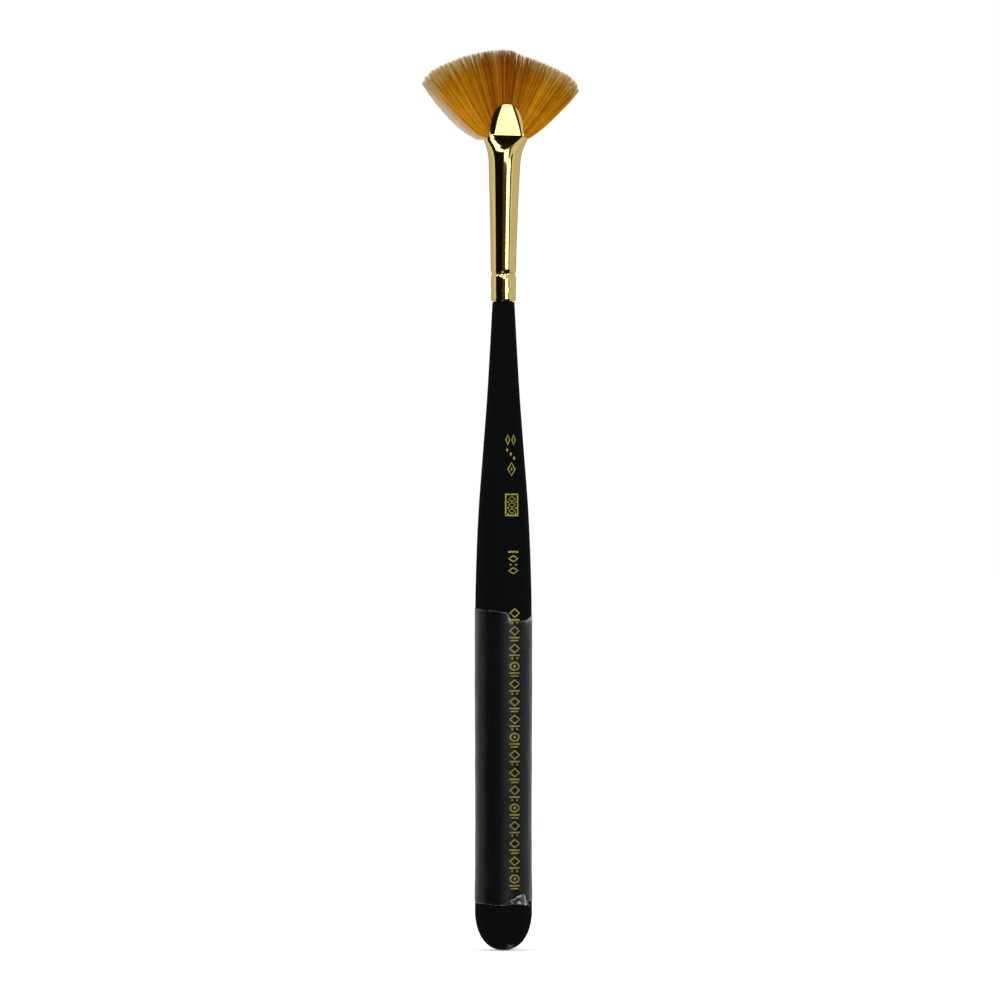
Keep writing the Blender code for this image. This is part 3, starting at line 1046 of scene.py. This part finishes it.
FILM_COLUMNS = 160
FILM_TOP_EDGE = [
    (-90, 45.60 * MM),
    (-20, 45.25 * MM),
    (2, 45.05 * MM),
    (8, 44.95 * MM),
    (12, 44.35 * MM),
    (19, 43.95 * MM),
    (48, 43.95 * MM),
    (70, 44.45 * MM),
    (120, 44.70 * MM),
    (200, 45.10 * MM),
    (270, 45.60 * MM),
]
FILM_BOTTOM_EDGE = [
    (-90, 6.60 * MM),
    (-60, 6.35 * MM),
    (0, 6.12 * MM),
    (50, 6.45 * MM),
    (90, 6.75 * MM),
    (180, 6.40 * MM),
    (270, 6.60 * MM),
]
FILM_ROWS_AT_EDGE = [rise * MM for rise in (0.0, 0.04, 0.09, 0.15, 0.24, 0.4)]
FILM_ROWS = 72
FILM_EDGE_WAVE = 0.03 * MM
FILM_RIPPLE = 0.015 * MM
TEAR_RIPPLE = 0.05 * MM
TEAR_HEIGHTS = (41.5 * MM, 44.0 * MM)
TEAR_ANGLE = 62
TEAR_HALF_ANGLE = 40
# The crushed mark near the tear is partly the film's own whitening and partly painted highlight.
# The notch holds a painted highlight.
CRUSHED_AND_HIGHLIGHT_DEPTHS = (0.2 * MM, 0.9 * MM)
NOTCH_ANGLE = 12
NOTCH_HALF_ANGLE = 3.5
NOTCH_DEPTH = 0.1 * MM
NOTCH_HALF_HEIGHT = 0.3 * MM
FILM_RIM = 0.16 * MM

# The share of light that the clear film throws back head on, and how much two faces add.
FILM_MIRROR = 0.017
FILM_GLOSS = 1.9

# The scrap's edges, over the distance round the handle, and how it lies on the sleeve.
SCRAP_TOP = [
    (0.75 * MM, 6.68 * MM),
    (1.30 * MM, 6.95 * MM),
    (2.35 * MM, 7.50 * MM),
    (3.00 * MM, 7.45 * MM),
    (3.50 * MM, 6.70 * MM),
    (3.95 * MM, 6.20 * MM),
]
SCRAP_BOTTOM = [(0.75 * MM, 6.55 * MM), (1.6 * MM, 6.35 * MM), (3.95 * MM, 6.02 * MM)]
SCRAP_TOP_WAVE = 0.05 * MM
SCRAP_BOTTOM_WAVE = 0.04 * MM
SCRAP_LIFT = 0.06 * MM
SCRAP_FOLD = 0.10 * MM


def clear_film(settings):
    tree = material_tree("clear_film")
    rim = tree.attribute("rim")
    place = tree.place()
    blotch = tree.noise(tree.stretched(place, (1.0, 1.0, 0.4)), 900.0, 3.0)
    wave = tree.noise(tree.stretched(place, (1.0, 1.0, 0.12)), 220.0, 1.0)
    facing = tree.node("ShaderNodeLayerWeight", sockets={"Blend": 0.5}, output="Facing")
    gloss = (FILM_MIRROR + (1 - FILM_MIRROR) * facing.math("POWER", facing, 5.0)) * FILM_GLOSS
    gloss = gloss * (0.7 + 0.6 * wave)
    # The white from the rim attribute is partly the film's own whitening at torn and crushed edges
    # and partly painted highlight. At the notch it is painted highlight alone.
    white = rim * (0.25 + 0.75 * tree.step(blotch, 0.3, 0.75))
    cover = gloss + white + settings.haze
    sheen = tree.principled(
        Base_Color=rgba(settings.tint),
        Metallic=0.97 - 0.97 * tree.step(rim, 0.05, 0.6),
        Roughness=0.26 + 0.06 * blotch + 0.3 * rim,
        Normal=tree.bump(wave, 0.01 * MM, 0.5),
    )
    clear = tree.node("ShaderNodeBsdfTransparent")
    return tree.surface(tree.node("ShaderNodeMixShader", sockets={0: cover, 1: clear, 2: sheen}))


class FANBRUSH_OT_film(bpy.types.Operator):
    """Wrap the torn clear film round the belly, with a crumpled scrap at its foot"""

    bl_idname = "fan_brush.film"
    bl_label = "Clear Film"

    def execute(self, context):
        settings = context.scene.fan_brush_film
        material = clear_film(settings)
        self.wrap(settings, material)
        self.crumple(settings, material)
        return {"FINISHED"}

    def wrap(self, settings, material):
        """The sleeve itself: rows are close together near its two edges."""
        rise = FILM_ROWS_AT_EDGE

        def height(turn, row):
            angle = math.degrees(turn)
            low = through(FILM_BOTTOM_EDGE, angle) + FILM_EDGE_WAVE * math.sin(7 * turn)
            high = through(FILM_TOP_EDGE, angle) + FILM_EDGE_WAVE * math.sin(11 * turn)
            if row < len(rise):
                return low + rise[row]
            if row > FILM_ROWS - len(rise):
                return high - rise[FILM_ROWS - row]
            part = (row - len(rise) + 1) / (FILM_ROWS - 2 * len(rise) + 2)
            return low + rise[-1] + (high - low - 2 * rise[-1]) * part

        def place(column, row):
            turn = math.radians(-90 + 360 * column / FILM_COLUMNS)
            z = height(turn, row)
            from_tear = abs(math.degrees(turn) - TEAR_ANGLE)
            torn = smooth_step(z, *TEAR_HEIGHTS) * smooth_step(from_tear, TEAR_HALF_ANGLE, 0)
            ripple = FILM_RIPPLE * (1 + math.sin(5 * turn + 260 * z) * math.sin(3 * turn - 900 * z))
            ripple += TEAR_RIPPLE * torn * (1 + math.sin(26 * turn) * math.sin(3000 * z))
            radius = handle_radius(z) + settings.gap + ripple
            return Vector((radius * math.sin(turn), -radius * math.cos(turn), z))

        shape = rolled(FILM_COLUMNS, FILM_ROWS, place)
        film = add_piece("torn_film", shape, material, 180)
        add_wall(film, settings.thickness, 1)
        set_attributes(film.data, rim=[self.rim(vert.co) for vert in film.data.vertices])
        belongs(film, "clear_film", "film_sleeve")

    def rim(self, point):
        """How white the film is: partly its own whitening and partly painted highlight at its torn
        edges and where it is crushed near the tear, and a painted highlight in the notch.
        """
        angle = math.degrees(math.atan2(point.x, -point.y))
        if angle < -90:
            angle += 360
        below = through(FILM_TOP_EDGE, angle) - point.z
        above = point.z - through(FILM_BOTTOM_EDGE, angle)
        edge = 1 - smooth_step(min(below, above), 0.0, FILM_RIM)
        # Crushed film near the tear: partly its own whitening, partly painted highlight.
        crushed = smooth_step(angle, 40, 62) * (1 - smooth_step(angle, 95, 120))
        crushed *= 1 - smooth_step(below, *CRUSHED_AND_HIGHLIGHT_DEPTHS)
        # A painted highlight in the notch of the top edge.
        across = (angle - NOTCH_ANGLE) / NOTCH_HALF_ANGLE
        notch_highlight = math.exp(-(across**2) - ((below - NOTCH_DEPTH) / NOTCH_HALF_HEIGHT) ** 2)
        return min(1.0, 0.30 * edge + 0.5 * crushed + 0.9 * notch_highlight)

    def crumple(self, settings, material):
        """A torn, three-cornered scrap of the film, crushed in folds at the foot of the sleeve."""
        left, right = SCRAP_TOP[0][0], SCRAP_TOP[-1][0]
        shape = bmesh.new()
        bmesh.ops.create_grid(shape, x_segments=64, y_segments=36, size=0.5)
        rim = []
        for vert in shape.verts:
            across, up = vert.co.x + 0.5, vert.co.y + 0.5
            around = left + (right - left) * across
            low = through(SCRAP_BOTTOM, around) + SCRAP_BOTTOM_WAVE * math.sin(31 * across)
            high = through(SCRAP_TOP, around) + SCRAP_TOP_WAVE * math.sin(23 * across)
            fold = 0.5 + 0.5 * math.sin(11 * across + 3 * up) * math.sin(7 * up - 4 * across)
            lift = settings.gap + settings.thickness + SCRAP_LIFT + SCRAP_FOLD * fold
            vert.co = on_handle(around, low + (high - low) * up, lift)
            rim.append(self.scrap_rim(across, up))
        scrap = add_piece("film_scrap", shape, material, 180)
        add_wall(scrap, settings.thickness, 1)
        set_attributes(scrap.data, rim=rim)
        belongs(scrap, "clear_film")

    def scrap_rim(self, across, up):
        """How white the scrap is: crease whitening and painted highlights along its folded edges
        and ridge, and painted highlights in spots along its foot.
        """
        fold = 0.6 * smooth_step(up, 0.72, 0.95) * (1 - smooth_step(across, 0.5, 0.6))
        ridge = 0.45 * math.exp(-(((across - 0.68 - 0.12 * (1 - up)) / 0.05) ** 2))
        # The spots along the foot are painted highlights.
        foot = 0.7 * math.exp(-(((up - 0.12) / 0.16) ** 2)) * math.sin(9.5 * across + 0.6) ** 4
        return 0.12 + max(fold, ridge, foot)


# --- stamped foil ---


def gold_foil(settings):
    tree = material_tree("gold_foil")
    place = tree.place()
    grain = tree.noise(place, 9000.0, 3.0)
    patch = tree.noise(place, 1500.0, 2.0)
    rubbed = tree.step(grain * 0.6 + patch * 0.4, 0.50, 0.66)
    shader = tree.principled(
        Base_Color=tree.mix(rubbed, settings.foil, settings.worn),
        Metallic=0.35,
        Roughness=0.38 + 0.2 * grain,
        Normal=tree.bump(grain, 0.003 * MM),
    )
    return tree.surface(shader)


class Stamp:
    """A flat ornament, drawn in a bmesh with X round the handle and Y along it."""

    def __init__(self, settings):
        self.settings = settings
        self.shape = bmesh.new()

    def ring(self, x, z, half_width, half_height, corners, stroke=None):
        """An outline with that many corners: 4 make a lozenge, and many make an oval."""
        stroke = stroke or self.settings.stroke
        loops = []
        for inset in (0.0, stroke):
            made = bmesh.ops.create_circle(self.shape, segments=corners, radius=1.0)["verts"]
            size = (half_width - inset, half_height - inset, 1)
            bmesh.ops.scale(self.shape, verts=made, vec=size)
            bmesh.ops.translate(self.shape, verts=made, vec=(x, z, 0))
            loops += list({edge for vert in made for edge in vert.link_edges})
        bmesh.ops.bridge_loops(self.shape, edges=loops)

    def dot(self, x, z, half_width, half_height, corners=12):
        made = bmesh.ops.create_circle(
            self.shape, cap_ends=True, cap_tris=True, segments=corners, radius=1.0
        )["verts"]
        bmesh.ops.scale(self.shape, verts=made, vec=(half_width, half_height, 1))
        bmesh.ops.translate(self.shape, verts=made, vec=(x, z, 0))

    def pair(self, x, z, apart, half_width, half_height):
        """Two square dots, one to each side of x."""
        for sign in (-1, 1):
            self.dot(x + sign * apart, z, half_width, half_height, 4)

    def bar(self, x, z, width, height, turn=0.0):
        made = bmesh.ops.create_grid(self.shape, x_segments=6, y_segments=2, size=0.5)["verts"]
        bmesh.ops.scale(self.shape, verts=made, vec=(width, height, 1))
        turned = Matrix.Rotation(math.radians(turn), 3, "Z")
        bmesh.ops.rotate(self.shape, verts=made, cent=(0, 0, 0), matrix=turned)
        bmesh.ops.translate(self.shape, verts=made, vec=(x, z, 0))

    def press(self, name, material):
        """Press the ornament onto the lacquer, in a skin of even thickness."""
        shape = self.shape
        long_edges = [edge for edge in shape.edges if edge.calc_length() > 0.3 * MM]
        bmesh.ops.subdivide_edges(shape, edges=long_edges, cuts=3, use_grid_fill=True)
        for face in shape.faces:
            face.normal_update()
            if face.normal.z < 0:
                face.normal_flip()
        for vert in shape.verts:
            vert.co = on_handle(vert.co.x, vert.co.y, self.settings.lift)
        foil = add_piece(name, shape, material, 60)
        add_wall(foil, self.settings.thickness, 1)
        belongs(foil, "gold_foil")


class FANBRUSH_OT_foil(bpy.types.Operator):
    """Stamp the foil ornaments: plain lozenges, bars, rings and dots"""

    bl_idname = "fan_brush.foil"
    bl_label = "Stamped Foil"

    def execute(self, context):
        settings = context.scene.fan_brush_foil
        material = gold_foil(settings)
        self.stamp_spindle(settings, material)
        self.stamp_square(settings, material)
        self.stamp_short_band(settings, material)
        self.stamp_long_band(settings, material)
        return {"FINISHED"}

    def stamp_spindle(self, settings, material):
        """Three ornaments in a row, above the square one."""
        stamp = Stamp(settings)
        middle = 1.0 * MM
        for sign in (-1, 1):
            x = middle + sign * 0.42 * MM
            stamp.ring(x, 68.0 * MM, 0.34 * MM, 0.75 * MM, 4, 0.16 * MM)
        for step in (-1, 0, 1):
            stamp.dot(middle + 0.5 * MM * step, (66.1 - 0.55 * step) * MM, 0.2 * MM, 0.3 * MM, 4)
        stamp.ring(middle + 0.1 * MM, 64.1 * MM, 0.6 * MM, 0.95 * MM, 4, 0.2 * MM)
        stamp.dot(middle + 0.1 * MM, 64.1 * MM, 0.14 * MM, 0.26 * MM, 4)
        stamp.press("foil_spindle", material)

    def stamp_square(self, settings, material):
        """A square frame with a lattice of lozenges in it."""
        stamp = Stamp(settings)
        x, z, half = 1.15 * MM, 59.35 * MM, 0.85 * MM
        rise = 1.4 * MM
        for sign in (-1, 1):
            stamp.bar(x, z + sign * rise, 2 * half + 0.2 * MM, 0.2 * MM)
            stamp.bar(x + sign * half, z, 2 * rise - 0.2 * MM, 0.2 * MM, 90)
        for row in range(3):
            stamp.ring(x, z + (row - 1) * 0.8 * MM, 0.55 * MM, 0.4 * MM, 4, 0.13 * MM)
            stamp.pair(x, z + (row - 1.5) * 0.8 * MM, 0.52 * MM, 0.14 * MM, 0.18 * MM)
        stamp.press("foil_square", material)

    def stamp_short_band(self, settings, material):
        """A bar, and two lozenges with a pair of dots between them."""
        stamp = Stamp(settings)
        x = 1.35 * MM
        stamp.bar(x, 53.1 * MM, 1.5 * MM, 0.26 * MM)
        stamp.ring(x, 52.2 * MM, 0.75 * MM, 0.5 * MM, 4, 0.2 * MM)
        stamp.pair(x, 51.4 * MM, 0.4 * MM, 0.18 * MM, 0.18 * MM)
        stamp.ring(x, 50.6 * MM, 0.75 * MM, 0.5 * MM, 4, 0.2 * MM)
        stamp.press("foil_short_band", material)

    def stamp_long_band(self, settings, material):
        """A running band of lozenges, bars and dots down the belly."""
        stamp = Stamp(settings)
        x, top, bottom = 1.54 * MM, 45.8 * MM, 8.1 * MM
        motifs = 16
        pitch = (top - bottom) / motifs
        for motif in range(motifs):
            z = top - (motif + 0.5) * pitch
            if motif % 4 == 3:
                stamp.ring(x, z + 0.35 * MM, 0.72 * MM, 0.6 * MM, 24, 0.2 * MM)
                stamp.dot(x, z + 0.35 * MM, 0.2 * MM, 0.2 * MM)
            else:
                stamp.ring(x, z + 0.35 * MM, 0.8 * MM, 0.66 * MM, 4, 0.22 * MM)
            stamp.bar(x, z - 0.55 * MM, 1.5 * MM, 0.2 * MM)
            if motif % 2:
                stamp.bar(x, z - 0.95 * MM, 1.1 * MM, 0.18 * MM)
            else:
                stamp.pair(x, z - 0.95 * MM, 0.35 * MM, 0.16 * MM, 0.2 * MM)
        stamp.press("foil_long_band", material)


# --- stage ---

# Each card stands between two angles round the brush and two heights, and has its radiance.
KEY_RADIANCE = 2.8
SIDE_RADIANCE = 0.53
CARD_DISTANCE = 300 * MM
CARDS = {
    "strip_card": (20, 42, 60 * MM, 119 * MM, KEY_RADIANCE),
    "high_box": (-50, -8, 245 * MM, 339 * MM, KEY_RADIANCE),
    "flank_card": (34, 54, 135 * MM, 400 * MM, SIDE_RADIANCE),
    "upper_left_card": (-97, -74, 60 * MM, 400 * MM, SIDE_RADIANCE),
    "low_left_card": (-97, -82, -100 * MM, 60 * MM, SIDE_RADIANCE),
    "upper_right_card": (54, 66, 60 * MM, 400 * MM, SIDE_RADIANCE),
    "lip_card": (-25, 0, -250 * MM, -150 * MM, SIDE_RADIANCE),
}
ROOM_BLACK = 0.004
WORLD_FILL = 0.85
BROWN = (0.050, 0.028, 0.015)


def add_camera(settings):
    data = bpy.data.cameras.new("camera")
    data.sensor_width = 36.0
    data.lens = data.sensor_width * settings.camera_distance / settings.field
    data.clip_start = 10 * MM
    data.clip_end = 50.0
    camera = bpy.data.objects.new("camera", data)
    camera.location = (-settings.sideways, -settings.camera_distance, settings.camera_height)
    camera.rotation_euler = (math.radians(90), 0, 0)
    bpy.context.scene.collection.objects.link(camera)
    bpy.context.scene.camera = camera


def add_card(name, left, right, low, high, radiance):
    """A flat light between two angles round the brush and two heights, facing the brush."""
    middle = math.radians((left + right) / 2)
    width = 2 * CARD_DISTANCE * math.tan(math.radians((right - left) / 2))
    data = bpy.data.lights.new(name, "AREA")
    data.shape = "RECTANGLE"
    data.size = width
    data.size_y = high - low
    data.energy = 4 * radiance * width * (high - low)
    card = bpy.data.objects.new(name, data)
    out = Vector((math.sin(middle), -math.cos(middle), 0))
    card.location = out * CARD_DISTANCE + Vector((0, 0, (low + high) / 2))
    card.rotation_euler = (math.radians(90), 0, middle)
    card.visible_camera = False
    bpy.context.scene.collection.objects.link(card)


def add_floor(settings):
    shape = bmesh.new()
    bmesh.ops.create_circle(shape, cap_ends=True, segments=96, radius=6.0)
    floor = add_piece("floor", shape, pale_floor(settings))
    floor.visible_glossy = False
    floor.visible_shadow = False


def pale_floor(settings):
    tree = material_tree("pale_floor")
    place = tree.place()
    tooth = tree.noise(place, 900.0, 3.0)
    shader = tree.principled(
        Base_Color=rgba(settings.floor),
        Roughness=0.8 + 0.15 * tooth,
        Specular_IOR_Level=0.0,
        Emission_Color=(1, 1, 1, 1),
        Emission_Strength=0.3,
    )
    return tree.surface(shader)


def leaning_light(tree, around, height):
    """The key light above its card, which leans to the left as it goes up."""
    lean = tree.step(height, 3.0, 7.5) * 21.0
    tall = tree.band(height, 2.6, 3.0, 35.0, 38.0)
    return tree.band(around + lean, 18.0, 20.0, 42.0, 44.0) * tall * KEY_RADIANCE


def studio_world():
    """White for the camera, even for diffuse light, and a dark and pale room for reflections."""
    tree = Tree(bpy.data.worlds.new("studio"))
    ray = tree.node("ShaderNodeLightPath", output="Is Camera Ray")
    spread_ray = tree.node("ShaderNodeLightPath", output="Is Diffuse Ray")
    x, y, z = tree.axes(tree.node("ShaderNodeTexCoord", output="Generated"))
    around = x.math("ARCTAN2", x, 0 - y) * (180 / math.pi)
    height = z.math("ARCSINE", z) * (180 / math.pi)
    left_wall = 1 - tree.step(around, -98.0, -96.0)
    right_wall = tree.step(around, 65.0, 67.0)
    back_gaps = tree.band(around, 149.0, 151.0, 165.0, 167.0)
    back_gaps = back_gaps + tree.band(around, -167.0, -165.0, -151.0, -149.0)
    brown = tree.band(around, -11.0, -9.0, 18.0, 20.0) * (1 - tree.step(height, 8.0, 14.0))
    walls = (left_wall + right_wall) * (1 - 0.85 * back_gaps)
    ceiling = tree.step(height, 70.0, 85.0)
    level = walls * SIDE_RADIANCE + ROOM_BLACK + ceiling * 0.5 + leaning_light(tree, around, height)
    channels = {}
    for socket, tint in enumerate(BROWN):
        even = spread_ray * WORLD_FILL + (1 - spread_ray) * (level + brown * tint)
        channels[socket] = ray + (1 - ray) * even
    light = tree.node("ShaderNodeCombineXYZ", sockets=channels)
    background = tree.node("ShaderNodeBackground", sockets={"Color": light})
    tree.node("ShaderNodeOutputWorld", sockets={"Surface": background})
    return tree.owner


class FANBRUSH_OT_stage(bpy.types.Operator):
    """Set the floor, the studio light and the camera"""

    bl_idname = "fan_brush.stage"
    bl_label = "Stage"

    def execute(self, context):
        settings = context.scene.fan_brush_stage
        add_camera(settings)
        add_floor(settings)
        context.scene.world = studio_world()
        for name, card in CARDS.items():
            add_card(name, *card)
        context.scene.view_settings.view_transform = "Standard"
        return {"FINISHED"}


# --- add-on ---

SETTINGS = {
    "fan_brush_stage": StageSettings,
    "fan_brush_handle": HandleSettings,
    "fan_brush_ferrule": FerruleSettings,
    "fan_brush_tuft": TuftSettings,
    "fan_brush_film": FilmSettings,
    "fan_brush_foil": FoilSettings,
}
OPERATORS = (
    FANBRUSH_OT_stage,
    FANBRUSH_OT_handle,
    FANBRUSH_OT_ferrule,
    FANBRUSH_OT_inner_parts,
    FANBRUSH_OT_tuft,
    FANBRUSH_OT_film,
    FANBRUSH_OT_foil,
)


class FANBRUSH_PT_panel(bpy.types.Panel):
    """Lists the steps of the brush, and their settings"""

    bl_idname = "FANBRUSH_PT_panel"
    bl_label = "Fan Brush"
    bl_space_type = "VIEW_3D"
    bl_region_type = "UI"
    bl_category = "Fan Brush"

    def draw(self, context):
        for operator in OPERATORS:
            self.layout.operator(operator.bl_idname)
        for name, group in SETTINGS.items():
            box = self.layout.box()
            for field in group.__annotations__:
                box.prop(getattr(context.scene, name), field)


def register():
    for group in SETTINGS.values():
        bpy.utils.register_class(group)
    for name, group in SETTINGS.items():
        setattr(bpy.types.Scene, name, PointerProperty(type=group))
    for item in (*OPERATORS, FANBRUSH_PT_panel):
        bpy.utils.register_class(item)


def unregister():
    for item in (FANBRUSH_PT_panel, *reversed(OPERATORS)):
        bpy.utils.unregister_class(item)
    for name, group in SETTINGS.items():
        delattr(bpy.types.Scene, name)
        bpy.utils.unregister_class(group)


def main():
    register()
    bpy.ops.fan_brush.stage()
    bpy.ops.fan_brush.handle()
    bpy.ops.fan_brush.ferrule()
    bpy.ops.fan_brush.inner_parts()
    bpy.ops.fan_brush.tuft()
    bpy.ops.fan_brush.film()
    bpy.ops.fan_brush.foil()


if __name__ == "__main__":
    main()
